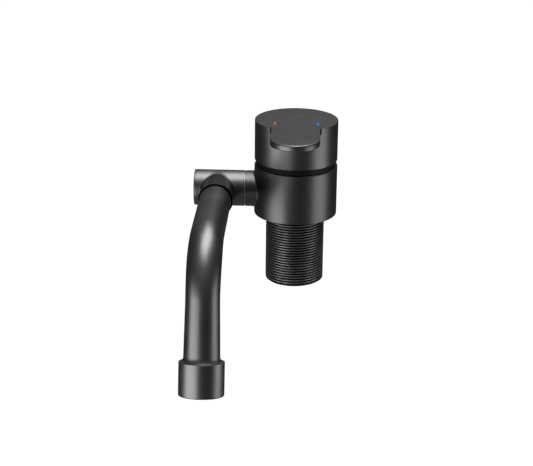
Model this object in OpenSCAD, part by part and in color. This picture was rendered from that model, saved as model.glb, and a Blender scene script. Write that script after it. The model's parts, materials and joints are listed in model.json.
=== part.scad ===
// Folding kitchen faucet: a single-lever mixer on a threaded shank, with a side arm that carries a
// folding collar and a bent spout. Millimetres. The origin is the centre of the body's underside,
// where it sits on the deck. +Z is up, the lever and the spout point to -Y, the arm points to -X.

/* [Valve body] */
// Outer diameter of the round body
body_d = 45; // [44:0.5:50]
// Height of the body above the deck
body_h = 27.2; // [26.5:0.1:34]
// Metal left under the cartridge chamber
floor_t = 8.5; // [8:0.1:9]
// Chamfer on the outer edges of the body and the cap
edge = 0.5; // [0.2:0.1:0.8]

/* [Threaded shank] */
// Diameter over the thread crests, a fine thread of nominal 32 mm
shank_d = 31.9; // [30:0.1:34]
// Length of the shank below the deck
shank_l = 38.4; // [25:0.1:60]
// Clear bore that the two hoses pass through
shank_bore_d = 24; // [22:0.5:25]
// Pitch of the thread
thread_pitch = 1.5; // [1:0.25:2]
// Depth of the thread
thread_depth = 0.92; // [0.6:0.02:1.2]
// Depth that the shank screws into the body
shank_socket = 4; // [3:0.5:6]

/* [Hose ports] */
// Bore of each hose port, tapped for a hose end of nominal 10 mm
port_d = 9; // [8:0.5:9.5]
// Distance between the centres of the two ports
port_spacing = 12; // [11:0.5:12.5]
// Depth of the tapped part of a port
port_l = 7; // [5:0.5:7]
// Depth of the recess inside the shank that the ports open into
port_recess = 0.8; // [0.5:0.1:1]
// Bore of the water ways through the cartridge
feed_d = 5.5; // [4:0.5:6]

/* [Deck seal] */
// Mean diameter of the rubber ring under the body
seal_d = 38.2; // [37:0.1:39.5]
// Thickness of the rubber ring's cord
seal_cord = 2.2; // [1.6:0.1:2.6]

/* [Cartridge] */
// Outer diameter of the ceramic disc cartridge
cartridge_d = 35; // [34:0.5:36]
// Height of the cartridge's foot, which stands in the outlet ring
foot_h = 8; // [7.8:0.1:9]
// Radial width of the outlet ring round the foot
outlet_ring = 2.3; // [1.5:0.1:3]
// Thickness of the flange above the foot
flange_t = 1.8; // [1.2:0.1:2.5]
// Diameter of the fixed ceramic disc
disc_d = 25.9; // [24:0.1:26.5]
// Thickness of the fixed ceramic disc
fixed_disc_t = 2.6; // [2:0.1:3]
// Thickness of the moving ceramic disc
moving_disc_t = 2.3; // [2:0.1:3]
// Height of the carrier above the moving disc
carrier_h = 5; // [4.6:0.1:6]
// Wall of the cartridge housing's neck
housing_wall = 1.4; // [1:0.1:1.8]
// Height of the yoke that turns inside the housing
yoke_h = 8; // [7:0.5:9]
// Thickness of the housing's top lip
lip_t = 1.5; // [1:0.1:2]
// Diameter of the pin that the lever tilts on
pin_d = 3; // [2.5:0.1:3.5]

/* [Cap and tongue] */
// Outer diameter of the handle cap
cap_d = 44.8; // [44:0.1:48]
// Height of the handle cap
cap_h = 22.1; // [20:0.1:28]
// Thickness of the cap's top
cap_top_t = 5.3; // [4.5:0.1:6]
// Open groove between the body and the cap
neck_gap = 3; // [2.6:0.1:4]
// Depth of the groove, from the cap's outline to the neck ring
neck_recess = 0.8; // [0.5:0.1:1.2]
// Angle that the lever lifts through
lift_max = 15; // [8:1:16]
// Width of the tongue, whose tip is a half round
tongue_w = 25.8; // [22:0.1:30]
// Reach of the tongue's tip from the body's axis
tongue_reach = 49.4; // [40:0.1:60]
// Thickness of the tongue
tongue_t = 3.2; // [2.5:0.1:4.5]
// Width of the two slots beside the tongue's root
root_slot_w = 0.7; // [0.6:0.1:1.5]
// Depth of these slots into the cap's wall
root_slot_in = 1.2; // [0.6:0.1:2]

/* [Red and blue marks] */
// Distance of each mark from the middle of the cap, sideways
mark_x = 11.4; // [9:0.1:12]
// Distance of the marks in front of the cap's middle
mark_y = 8.7; // [4:0.1:12]
// Width of a mark
mark_w = 1.4; // [1:0.1:2.5]
// Length of a mark
mark_l = 5.2; // [2.6:0.1:6.5]
// Depth of a mark's inlay
mark_t = 0.6; // [0.4:0.1:1]

/* [Side arm] */
// Outer diameter of the arm and the folding collar
arm_d = 19.6; // [18.5:0.1:22]
// Height of the arm's axis above the deck
arm_z = 12.7; // [12.4:0.1:13.4]
// End of the fixed arm, from the body's axis
arm_l = 27.2; // [26.5:0.1:34]
// Groove between the fixed arm and the collar, filled by a slip washer
arm_gap = 0.5; // [0.3:0.1:1]
// Diameter of the hollow spindle that the collar turns on
spindle_d = 13; // [12:0.1:13.6]
// Bore of the spindle and of the arm's water way
passage_d = 7.2; // [6:0.1:7.6]
// Depth that the spindle screws into the fixed arm
spindle_root = 7; // [5:0.5:7.5]

/* [Folding collar] */
// Length of the collar
collar_l = 27.3; // [26.5:0.1:34]
// Distance of the spout's axis from the collar's inner end
stub_at = 14.5; // [13.3:0.1:14.9]
// Outer diameter of the stub that holds the spout
stub_d = 19.1; // [18.4:0.1:20]
// Reach of the stub from the arm's axis
stub_l = 21.8; // [20.5:0.1:30]
// Thickness of the cap that closes the collar's end
end_cap_t = 2.3; // [1.8:0.1:3]
// Seam between the stub and the spout tube
seam = 0.25; // [0.1:0.05:0.5]

/* [Spout] */
// Outer diameter of the spout tube
tube_d = 17; // [16:0.1:18]
// Wall of the spout tube
tube_wall = 1; // [0.8:0.1:1.5]
// Straight run from the stub to the bend
tube_run = 49.6; // [30:0.1:120]
// Radius of the bend, at the tube's centre line
bend_r = 32.1; // [24:0.1:60]
// Angle of the bend
bend_a = 74.7; // [45:0.1:100]
// Straight drop from the bend to the nozzle
tube_drop = 29.5; // [15:0.1:80]
// Diameter of the tube where it enters the nozzle
flare_d = 18.2; // [17:0.1:18.6]
// Length of the spigot that turns inside the stub
spigot_l = 12.3; // [11.6:0.1:13]

/* [Nozzle] */
// Outer diameter of the nozzle
nozzle_d = 22.7; // [22:0.1:26]
// Length of the nozzle
nozzle_l = 16.7; // [15:0.1:24]
// Wall of the nozzle round the aerator
nozzle_wall = 1.6; // [1.2:0.1:2]
// Depth of the aerator's face inside the nozzle's mouth
mouth_recess = 1; // [0.5:0.1:2]

/* [Clearances] */
// Gap between faces that slide or turn on each other
slip = 0.05; // [0.03:0.01:0.08]
// Gap round pieces that are screwed or pressed home
snug = 0.02; // [0.01:0.01:0.03]

/* [Hidden] */
$fn = 96;
cut = 1;
lap = 0.1;

body_r = body_d / 2;
shank_r = shank_d / 2;
bore_r = shank_bore_d / 2;
pilot_r = shank_r - thread_depth;
pilot_lip = 0.5;
thread_end = 0.9;
mouth_r = shank_r + 0.25;
mouth_h = 0.5;
port_r = port_d / 2;
port_x = port_spacing / 2;
feed_r = feed_d / 2;
seal_r = seal_d / 2;
cord_r = seal_cord / 2;

// The cartridge, from the chamber's floor upwards
cartridge_r = cartridge_d / 2;
foot_r = cartridge_r - outlet_ring;
flange_z = floor_t + foot_h;
disc_z = flange_z + flange_t;
disc_r = disc_d / 2;
mover_z = disc_z + fixed_disc_t + slip;
carrier_z = mover_z + moving_disc_t;
ball_r = 2.3;
ball_z = carrier_z + carrier_h - ball_r - 0.1;
yoke_z = carrier_z + carrier_h + 0.3;
yoke_top = yoke_z + yoke_h;
housing_top = yoke_top + slip + lip_t;
pivot_up = 3.5;
pivot_z = yoke_z + pivot_up;
stem_reach = pivot_z - ball_z;
disc_travel = stem_reach * lift_max * PI / 180;
bore_in_r = disc_r + slip;
mover_r = bore_in_r - disc_travel / 2 - 0.15;
neck_r = bore_in_r + housing_wall;
yoke_r = bore_in_r - slip;
yoke_boss_r = yoke_r - 2;
pin_r = pin_d / 2;
mover_cup_r = 5.5;
tilt_room = 5;
outlet_y = 7.2;

// The nut screws into the body's mouth and presses on the housing's shoulder
nut_grip = 5.2;
nut_seat_z = body_h - nut_grip;
nut_wall = 1.5;
nut_r = cartridge_r + nut_wall;
nut_slot_w = 4;
nut_slot_h = 1.5;
cap_z = body_h + neck_gap;
nut_top = cap_z + 0.3;

// The cap tilts about the pin: its skirt clears the nut, and its rear edge is cut back
cap_r = cap_d / 2;
cap_top = cap_z + cap_h;
ceiling_z = cap_top - cap_top_t;
skirt_r = (nut_r + 0.25) / cos(lift_max);
relief_y = (neck_gap - 0.4) / sin(lift_max);
boss_r = 8;
boss_z = housing_top + 2.6;
stem_w = 7;
stem_d = 8;
stem_foot = 0.6;
foot_round_r = 3.2;
foot_round_h = 1;
ball_neck_r = 1.6;
stem_top = ceiling_z - 0.5;
grub_r = 2.45;
grub_l = 5;
grub_z = (boss_z + ceiling_z) / 2;
plug_r = 2.6;

// The arm and the spindle, along -X from the body's axis
arm_r = arm_d / 2;
spindle_r = spindle_d / 2;
passage_r = passage_d / 2;
collar_x = arm_l + arm_gap;
collar_end = collar_x + collar_l;
stub_x = collar_x + stub_at;
chamber_half = 3.3;
chamber_r = spindle_r + 1.5;
ring_cord_r = 0.7;
groove_half = 1.0;
ring_near = 4;
ring_far = 2.2;
well_depth = 5.5;
well_x = collar_end - well_depth;
ring_near_x = collar_x + ring_near;
ring_far_x = well_x - ring_far;
well_r = arm_r - 1.4;
spindle_end = well_x + slip;
washer_t = 1;
bolt_r = 2.4;
bolt_head_r = 4.5;
bolt_head_h = 1.4;

// The stub and the spigot, along -Y from the arm's axis
stub_r = stub_d / 2;
spigot_r = 6;
spout_bore_r = 3.8;
tube_y = stub_l + seam;
screw_in = 6.2;
screw_r = 2;
screw_groove_r = 5.1;
seal_near = 3;
seal_far = 9.4;

// The spout tube and the nozzle, along the tube's centre line
tube_r = tube_d / 2;
flare_r = flare_d / 2;
tube_in = 5;
plug_in = 12;
nozzle_r = nozzle_d / 2;
aerator_r = nozzle_r - nozzle_wall;
aerator_washer_t = 1.5;
washer_lip = 3.05;
screen_t = 0.4;
screen_z = tube_in + aerator_washer_t;
aerator_z = screen_z + screen_t;
aerator_l = nozzle_l - mouth_recess - aerator_z;
mesh_pitch = 2;
mesh_hole_r = 0.95;
mesh_rings = 3;
comb_t = 2.5;
comb_pitch = 3.1;
comb_rings = 2;
comb_wall = 1.1;

// Shapes and places that several pieces share

module tube(r_out, r_in, h) {
    difference() {
        cylinder(r = r_out, h = h);
        translate([0, 0, -cut])
            cylinder(r = r_in, h = h + 2 * cut);
    }
}

module bevelled(r, h, low, high) {
    rotate_extrude()
        polygon([[0, 0], [r - low, 0], [r, low], [r, h - high], [r - high, h], [0, h]]);
}

module o_ring(mean_r, cord) {
    rotate_extrude()
        translate([mean_r, 0])
            circle(r = cord, $fn = 32);
}

module on_arm(x) {
    translate([-x, 0, arm_z])
        rotate([0, -90, 0])
            children();
}

module on_stub(y) {
    translate([-stub_x, -y, arm_z])
        rotate([90, 0, 0])
            children();
}

module on_tube_end() {
    on_stub(tube_y)
        translate([0, -bend_r * (1 - cos(bend_a)), tube_run + bend_r * sin(bend_a)])
            rotate([bend_a, 0, 0])
                translate([0, 0, tube_drop])
                    children();
}

module hex_socket(across, depth) {
    cylinder(r = across / 2 / cos(30), h = depth, $fn = 6);
}

// The valve body and what is fixed to it

module main_body() {
    color([0.16, 0.16, 0.17])
    difference() {
        union() {
            bevelled(body_r, body_h, edge, edge);
            on_arm(0)
                bevelled(arm_r, arm_l, 0, edge / 2);
        }
        translate([0, 0, floor_t])
            cylinder(r = cartridge_r + snug, h = body_h);
        translate([0, 0, nut_seat_z - 0.5])
            cylinder(r = nut_r + snug, h = body_h);
        on_arm(cartridge_r - cut)
            cylinder(r = passage_r, h = arm_l);
        on_arm(arm_l - spindle_root)
            cylinder(r = spindle_r + snug, h = spindle_root + cut);
        for (side = [-1, 1]) translate([side * port_x, 0, port_recess]) {
            translate([0, 0, -cut])
                cylinder(r = port_r, h = port_l + cut);
            cylinder(r = feed_r, h = floor_t);
        }
        translate([0, 0, -cut])
            cylinder(r = bore_r + pilot_lip + cut, h = port_recess + cut);
        translate([0, 0, -cut])
            tube(pilot_r + snug, bore_r + pilot_lip, shank_socket + cut);
        translate([0, 0, -cut])
            cylinder(r = mouth_r, h = mouth_h + cut);
        translate([0, 0, -cut])
            tube(seal_r + cord_r + snug, seal_r - cord_r - snug, seal_cord + snug + cut);
    }
}

module threaded_shank() {
    turns = floor((shank_l - thread_end) / thread_pitch);
    crest = thread_pitch / 8;
    flank = thread_pitch * 5 / 16;
    thread = [for (i = [0 : turns - 1], top = -i * thread_pitch) each [
        [shank_r, top],
        [shank_r, top - crest],
        [pilot_r, top - crest - flank],
        [pilot_r, top - thread_pitch + flank]
    ]];
    last = -turns * thread_pitch;
    outline = concat(
        [[bore_r + pilot_lip + snug, 0], [bore_r + pilot_lip + snug, shank_socket],
         [pilot_r, shank_socket], [pilot_r, 0]],
        thread,
        [[shank_r, last], [shank_r, last - crest], [pilot_r, -shank_l], [bore_r, -shank_l], [bore_r, 0]]
    );
    color([0.2, 0.2, 0.21])
    rotate_extrude()
        polygon(outline);
}

module deck_seal() {
    color([0.06, 0.06, 0.06])
    translate([0, 0, cord_r])
        o_ring(seal_r, cord_r);
}

module cartridge_base() {
    seal_pocket_r = feed_r + 1.6;
    color([0.85, 0.85, 0.82])
    difference() {
        union() {
            translate([0, 0, floor_t])
                cylinder(r = foot_r, h = foot_h);
            translate([0, 0, flange_z])
                cylinder(r = cartridge_r, h = flange_t);
        }
        for (side = [-1, 1]) translate([side * port_x, 0, floor_t - cut]) {
            cylinder(r = feed_r, h = foot_h + flange_t + 2 * cut);
            cylinder(r = seal_pocket_r, h = cut + 1.5);
        }
        translate([0, outlet_y, arm_z])
            cylinder(r = feed_r, h = foot_h + flange_t);
        translate([0, outlet_y, arm_z])
            rotate([-90, 0, 0])
                cylinder(r = feed_r, h = cartridge_r);
    }
}

module port_seals() {
    color([0.1, 0.1, 0.1])
    for (side = [-1, 1]) translate([side * port_x, 0, floor_t])
        tube(feed_r + 1.6 - snug, feed_r, 1.5);
}

module fixed_disc() {
    color([0.93, 0.92, 0.88])
    translate([0, 0, disc_z])
    difference() {
        cylinder(r = disc_r, h = fixed_disc_t);
        for (place = [[-port_x, 0], [port_x, 0], [0, outlet_y]])
            translate([place[0], place[1], -cut])
                cylinder(r = feed_r, h = fixed_disc_t + 2 * cut);
    }
}

module cartridge_housing() {
    color([0.8, 0.8, 0.78])
    rotate_extrude()
        polygon([
            [bore_in_r, disc_z], [cartridge_r, disc_z], [cartridge_r, nut_seat_z],
            [neck_r, nut_seat_z], [neck_r, housing_top], [yoke_boss_r + slip, housing_top],
            [yoke_boss_r + slip, housing_top - lip_t], [bore_in_r, housing_top - lip_t]
        ]);
}

module retaining_nut() {
    color([0.2, 0.2, 0.21])
    difference() {
        translate([0, 0, nut_seat_z])
            bevelled(nut_r, nut_top - nut_seat_z, 0.3, 0.3);
        translate([0, 0, nut_seat_z - cut])
            cylinder(r = neck_r + snug, h = nut_top - nut_seat_z + 2 * cut);
        for (turn = [0, 90]) translate([0, 0, nut_top])
            rotate([0, 0, turn])
                cube([2 * nut_r + cut, nut_slot_w, 2 * nut_slot_h], center = true);
    }
}

// What turns with the handle: the yoke, its pin and the ring in the groove

module turning_yoke() {
    slot_l = stem_d + tilt_room;
    color([0.75, 0.75, 0.72])
    difference() {
        union() {
            translate([0, 0, yoke_z])
                cylinder(r = yoke_r, h = yoke_h);
            translate([0, 0, yoke_z])
                cylinder(r = yoke_boss_r, h = housing_top - yoke_z);
        }
        translate([-stem_w / 2 - 0.1, -slot_l / 2, yoke_z - cut])
            cube([stem_w + 0.2, slot_l, housing_top - yoke_z + 2 * cut]);
        translate([-yoke_r - cut, 0, pivot_z])
            rotate([0, 90, 0])
                cylinder(r = pin_r + snug, h = 2 * (yoke_r + cut));
    }
}

module pivot_pin() {
    color([0.7, 0.7, 0.72])
    translate([-yoke_r + 0.8, 0, pivot_z])
        rotate([0, 90, 0])
            cylinder(r = pin_r, h = 2 * yoke_r - 1.6);
}

module neck_ring() {
    color([0.05, 0.05, 0.05])
    difference() {
        translate([0, 0, body_h + slip])
            tube(cap_r - neck_recess, nut_r + slip, neck_gap - 0.15 - slip);
        translate([0, 0, cap_z - 0.15])
            rotate([-lift_max, 0, 0])
                translate([-cap_r, 0, 0])
                    cube([2 * cap_r, 2 * cap_r, cap_r]);
    }
}

module moving_disc() {
    color([0.93, 0.92, 0.88])
    translate([0, disc_travel / 2, mover_z])
    difference() {
        cylinder(r = mover_r, h = moving_disc_t);
        translate([0, 0, -cut])
            cylinder(r = mover_cup_r, h = cut + moving_disc_t / 2);
    }
}

module disc_carrier() {
    color([0.3, 0.3, 0.3])
    difference() {
        translate([0, disc_travel / 2, carrier_z])
            cylinder(r = mover_r - 0.3, h = carrier_h);
        translate([0, 0, ball_z - ball_r - 0.1])
            cylinder(r = ball_r + 0.1, h = carrier_h);
    }
}

// What lifts with the lever

module lever_stem() {
    foot_z = yoke_z + stem_foot;
    color([0.72, 0.66, 0.42])
    difference() {
        union() {
            translate([-stem_w / 2, -stem_d / 2, foot_z])
                cube([stem_w, stem_d, stem_top - foot_z]);
            translate([0, 0, ball_z])
                cylinder(r = ball_neck_r, h = foot_z - ball_z + lap);
            translate([0, 0, ball_z])
                sphere(r = ball_r);
        }
        translate([-stem_w, 0, pivot_z])
            rotate([0, 90, 0])
                cylinder(r = pin_r + slip, h = 2 * stem_w);
        translate([0, 0, foot_z - cut])
            tube(stem_d, foot_round_r, foot_round_h + cut);
    }
}

module tongue_outline() {
    tip_y = tongue_reach - tongue_w / 2;
    translate([-tongue_w / 2, -tip_y])
        square([tongue_w, tip_y]);
    translate([0, -tip_y])
        circle(d = tongue_w);
}

module mark_outline(gap) {
    run = (mark_l - mark_w) / 2;
    square([mark_w + 2 * gap, 2 * run], center = true);
    for (end = [-1, 1]) translate([0, end * run])
        circle(r = mark_w / 2 + gap, $fn = 48);
}

module mark_at(side) {
    translate([side * mark_x, -mark_y, cap_top - mark_t])
        children();
}

module handle_cap() {
    slot_y = sqrt(pow(cap_r, 2) - pow(tongue_w / 2 + root_slot_w, 2)) - root_slot_in;
    color([0.16, 0.16, 0.17])
    difference() {
        union() {
            translate([0, 0, cap_z])
                bevelled(cap_r, cap_h, edge / 2, edge);
            translate([0, 0, cap_top - tongue_t])
                linear_extrude(tongue_t)
                    tongue_outline();
        }
        difference() {
            translate([0, 0, cap_z - cut])
                cylinder(r = skirt_r, h = ceiling_z - cap_z + cut);
            translate([0, 0, boss_z])
                cylinder(r = boss_r, h = cap_h);
        }
        translate([-stem_w / 2 - snug, -stem_d / 2 - snug, cap_z])
            cube([stem_w + 2 * snug, stem_d + 2 * snug, stem_top + snug - cap_z]);
        translate([0, 0, grub_z])
            rotate([-90, 0, 0]) {
                cylinder(r = grub_r + snug, h = skirt_r);
                translate([0, 0, boss_r + cut])
                    cylinder(r = plug_r + snug, h = cap_r);
            }
        for (side = [-1, 1])
            translate([side * (tongue_w + root_slot_w) / 2 - root_slot_w / 2,
                       -cap_r - cut, cap_top - tongue_t])
                cube([root_slot_w, cap_r + cut - slot_y, tongue_t + cut]);
        for (side = [-1, 1]) mark_at(side)
            linear_extrude(mark_t + cut)
                mark_outline(snug);
        translate([0, relief_y, cap_z])
            rotate([lift_max, 0, 0])
                translate([-cap_r, 0, -cap_r])
                    cube([2 * cap_r, 2 * cap_r, cap_r]);
    }
}

module grub_screw() {
    color([0.5, 0.5, 0.5])
    translate([0, stem_d / 2 + 2 * snug, grub_z])
        rotate([-90, 0, 0])
            difference() {
                cylinder(r = grub_r, h = grub_l);
                translate([0, 0, grub_l - 2.4])
                    hex_socket(2.5, 2.4 + cut);
            }
}

module screw_plug() {
    color([0.12, 0.12, 0.13])
    intersection() {
        translate([0, skirt_r + 0.1, grub_z])
            rotate([-90, 0, 0])
                cylinder(r = plug_r, h = cap_r);
        translate([0, 0, cap_z])
            cylinder(r = cap_r - 0.1, h = cap_h);
    }
}

module mark() {
    linear_extrude(mark_t)
        mark_outline(0);
}

module hot_mark() {
    color([0.8, 0.25, 0.2])
    mark_at(-1)
        mark();
}

module cold_mark() {
    color([0.1, 0.45, 0.75])
    mark_at(1)
        mark();
}

// The spindle in the arm and what holds the collar on it

module pivot_spindle() {
    bore_end = stub_x + passage_r / 2 + 0.6;
    color([0.75, 0.62, 0.35])
    difference() {
        on_arm(arm_l - spindle_root)
            cylinder(r = spindle_r, h = spindle_end - arm_l + spindle_root);
        on_arm(arm_l - spindle_root - cut)
            cylinder(r = passage_r, h = bore_end - arm_l + spindle_root + cut);
        for (turn = [0, 90]) on_arm(stub_x)
            rotate([0, 0, turn])
                rotate([90, 0, 0])
                    translate([0, 0, -spindle_d])
                        cylinder(r = 2.2, h = 2 * spindle_d);
        for (x = [ring_near_x, ring_far_x]) on_arm(x - groove_half)
            tube(spindle_r + cut, spindle_r - 2 * ring_cord_r, 2 * groove_half);
        on_arm(bore_end + 0.9)
            cylinder(r = bolt_r + snug, h = spindle_end - bore_end);
    }
}

module spindle_seals() {
    color([0.1, 0.1, 0.1])
    for (x = [ring_near_x, ring_far_x]) on_arm(x)
        o_ring(spindle_r - ring_cord_r, ring_cord_r);
}

module slip_washer() {
    color([0.1, 0.1, 0.1])
    on_arm(arm_l)
        tube(arm_r - 0.5, spindle_r + snug, arm_gap - slip);
}

module retaining_washer() {
    color([0.7, 0.7, 0.72])
    on_arm(spindle_end)
        tube(well_r - 0.4, bolt_r + snug, washer_t);
}

module retaining_screw() {
    head_x = spindle_end + washer_t;
    thread_l = head_x - stub_x - passage_r / 2 - 1.8;
    color([0.7, 0.7, 0.72])
    difference() {
        union() {
            on_arm(head_x - thread_l)
                cylinder(r = bolt_r, h = thread_l + bolt_head_h / 2);
            on_arm(head_x)
                cylinder(r = bolt_head_r, h = bolt_head_h);
        }
        on_arm(head_x + 0.3)
            hex_socket(3, bolt_head_h);
    }
}

// What folds on the spindle: the collar with its stub

module swivel_collar() {
    screw_y = tube_y - screw_in;
    color([0.16, 0.16, 0.17])
    difference() {
        union() {
            on_arm(collar_x)
                bevelled(arm_r, collar_l, edge / 2, edge);
            on_stub(0)
                bevelled(stub_r, stub_l, 0, edge / 2);
        }
        on_arm(collar_x - cut)
            cylinder(r = spindle_r + slip, h = collar_l);
        on_arm(stub_x - chamber_half)
            cylinder(r = chamber_r, h = 2 * chamber_half);
        on_arm(well_x)
            cylinder(r = well_r, h = collar_l);
        on_stub(0)
            cylinder(r = spigot_r + slip, h = stub_l + cut);
        translate([-stub_x, -screw_y, arm_z - stub_d])
            cylinder(r = screw_r + snug, h = stub_d);
    }
}

module collar_end_cap() {
    color([0.14, 0.14, 0.15])
    on_arm(collar_end - end_cap_t)
        bevelled(well_r - snug, end_cap_t, 0, edge / 2);
}

module stub_set_screw() {
    screw_y = tube_y - screw_in;
    tip = arm_z - screw_groove_r - 0.15;
    head = arm_z - stub_r + 0.4;
    color([0.12, 0.12, 0.13])
    translate([-stub_x, -screw_y, head])
        difference() {
            cylinder(r = screw_r, h = tip - head);
            translate([0, 0, -cut])
                hex_socket(2, 1.8 + cut);
        }
}

// What swivels in the stub: the spout

module spout_run(r, r_end, extra) {
    on_stub(tube_y) {
        translate([0, 0, -extra])
            cylinder(r = r, h = tube_run + extra);
        translate([0, -bend_r, tube_run])
            rotate([90, 0, 90])
                rotate_extrude(angle = bend_a)
                    translate([bend_r, 0])
                        circle(r = r);
    }
    on_tube_end() {
        translate([0, 0, -tube_drop - lap])
            cylinder(r1 = r + snug, r2 = r_end, h = tube_drop + lap);
        cylinder(r = r_end, h = tube_in + extra);
    }
}

module spout_tube() {
    color([0.16, 0.16, 0.17])
    difference() {
        spout_run(tube_r, flare_r, 0);
        spout_run(tube_r - tube_wall, flare_r - tube_wall, cut);
    }
}

module spout_ferrule() {
    color([0.75, 0.62, 0.35])
    difference() {
        union() {
            on_stub(tube_y - spigot_l)
                cylinder(r = spigot_r, h = spigot_l);
            on_stub(tube_y)
                cylinder(r = tube_r - tube_wall - snug, h = plug_in);
        }
        on_stub(tube_y - spigot_l - cut)
            cylinder(r = spout_bore_r, h = spigot_l + plug_in + 2 * cut);
        for (back = [seal_near, seal_far]) on_stub(tube_y - back - groove_half)
            tube(spigot_r + cut, spigot_r - 2 * ring_cord_r, 2 * groove_half);
        on_stub(tube_y - screw_in - screw_r - 0.1)
            tube(spigot_r + cut, screw_groove_r, 2 * screw_r + 0.2);
    }
}

module spout_seals() {
    color([0.1, 0.1, 0.1])
    for (back = [seal_near, seal_far]) on_stub(tube_y - back)
        o_ring(spigot_r - ring_cord_r, ring_cord_r);
}

module nozzle_shell() {
    color([0.16, 0.16, 0.17])
    on_tube_end()
    difference() {
        bevelled(nozzle_r, nozzle_l, edge, edge);
        translate([0, 0, -cut])
            cylinder(r = flare_r + snug, h = nozzle_l + 2 * cut);
        translate([0, 0, tube_in])
            cylinder(r = aerator_r + snug, h = nozzle_l);
    }
}

module aerator_washer() {
    color([0.1, 0.1, 0.1])
    on_tube_end()
        translate([0, 0, tube_in])
            tube(aerator_r - 0.1, aerator_r - washer_lip, aerator_washer_t);
}

module comb(rings, pitch, hole_r, h) {
    for (i = [-rings : rings], j = [-rings : rings])
        if (abs(i + j) <= rings)
            translate([(i + j / 2) * pitch, j * pitch * sqrt(3) / 2, -cut])
                rotate([0, 0, 30])
                    cylinder(r = hole_r, h = h + 2 * cut, $fn = 6);
}

module aerator_screen() {
    color([0.7, 0.7, 0.72])
    on_tube_end()
        translate([0, 0, screen_z])
            difference() {
                cylinder(r = aerator_r - 0.3, h = screen_t);
                comb(mesh_rings, mesh_pitch, mesh_hole_r, screen_t);
            }
}

module aerator_body() {
    color([0.3, 0.3, 0.31])
    on_tube_end()
        translate([0, 0, aerator_z])
            difference() {
                cylinder(r = aerator_r, h = aerator_l);
                translate([0, 0, -cut])
                    cylinder(r = aerator_r - comb_wall, h = aerator_l - comb_t + cut);
                comb(comb_rings, comb_pitch, comb_pitch / 2, aerator_l);
            }
}

main_body();
threaded_shank();
deck_seal();
cartridge_base();
port_seals();
fixed_disc();
cartridge_housing();
retaining_nut();
moving_disc();
disc_carrier();
turning_yoke();
pivot_pin();
neck_ring();
lever_stem();
handle_cap();
grub_screw();
screw_plug();
hot_mark();
cold_mark();
pivot_spindle();
spindle_seals();
slip_washer();
retaining_washer();
retaining_screw();
swivel_collar();
collar_end_cap();
stub_set_screw();
spout_tube();
spout_ferrule();
spout_seals();
nozzle_shell();
aerator_washer();
aerator_screen();
aerator_body();
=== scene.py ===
# Folding kitchen faucet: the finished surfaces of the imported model, its studio and its camera.
import json
import math

import bmesh
import bpy
from mathutils import Matrix, Vector


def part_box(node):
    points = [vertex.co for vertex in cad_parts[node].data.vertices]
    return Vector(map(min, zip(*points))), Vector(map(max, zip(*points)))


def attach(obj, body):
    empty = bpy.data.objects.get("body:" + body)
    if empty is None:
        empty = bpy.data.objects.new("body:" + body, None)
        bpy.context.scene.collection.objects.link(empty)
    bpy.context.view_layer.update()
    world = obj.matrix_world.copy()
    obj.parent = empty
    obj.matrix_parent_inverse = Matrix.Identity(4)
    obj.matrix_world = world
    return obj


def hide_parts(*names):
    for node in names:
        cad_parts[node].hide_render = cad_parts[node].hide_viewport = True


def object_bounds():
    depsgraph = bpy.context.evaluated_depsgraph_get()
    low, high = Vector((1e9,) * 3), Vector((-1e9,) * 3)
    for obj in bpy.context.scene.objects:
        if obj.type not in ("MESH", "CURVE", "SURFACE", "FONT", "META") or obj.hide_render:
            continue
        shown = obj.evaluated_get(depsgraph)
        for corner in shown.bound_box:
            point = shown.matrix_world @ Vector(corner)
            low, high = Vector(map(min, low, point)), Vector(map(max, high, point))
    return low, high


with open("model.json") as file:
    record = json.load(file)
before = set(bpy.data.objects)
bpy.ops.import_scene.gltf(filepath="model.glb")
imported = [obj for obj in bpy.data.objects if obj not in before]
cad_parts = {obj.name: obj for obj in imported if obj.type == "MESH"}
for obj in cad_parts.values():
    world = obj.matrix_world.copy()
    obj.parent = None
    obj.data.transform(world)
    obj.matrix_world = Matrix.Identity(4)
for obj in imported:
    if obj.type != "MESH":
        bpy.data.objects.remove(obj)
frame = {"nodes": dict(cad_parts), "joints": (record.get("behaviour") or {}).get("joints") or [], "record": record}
cad_low, cad_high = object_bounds()
nodes = frame["nodes"]

MM = 0.001

# Camera, matched to the photograph. Its angles are in degrees.
LENS = 95.60
SENSOR = 36.0
NEAREST = 10 * MM
CAMERA_DISTANCE = 781.14 * MM
CAMERA_ELEVATION = 20.588
CAMERA_TURN = 2.2286
CAMERA_ROLL = 0.5793
CAMERA_SIDE = -15.548 * MM
CAMERA_RISE = -13.052 * MM


def in_scene(name, data):
    """A new object with this data, linked to the scene."""
    thing = bpy.data.objects.new(name, data)
    bpy.context.scene.collection.objects.link(thing)
    return thing


def shift(x, y, z):
    """The matrix of a move."""
    return Matrix.Translation((x, y, z))


def turn(degrees, axis):
    """The matrix of a turn about an axis."""
    return Matrix.Rotation(math.radians(degrees), 4, axis)


def place_camera():
    """The camera looks down on the tap from the front, a little from the right."""
    data = bpy.data.cameras.new("camera")
    data.lens = LENS
    data.sensor_width = SENSOR
    data.clip_start = NEAREST
    camera = in_scene("camera", data)
    slope = math.radians(CAMERA_ELEVATION)
    back = -CAMERA_DISTANCE * math.cos(slope)
    up = CAMERA_RISE + CAMERA_DISTANCE * math.sin(slope)
    place = turn(CAMERA_TURN, "Z") @ shift(CAMERA_SIDE, back, up)
    camera.matrix_world = place @ turn(90 - CAMERA_ELEVATION, "X") @ turn(CAMERA_ROLL, "Z")
    bpy.context.scene.camera = camera


place_camera()

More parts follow.
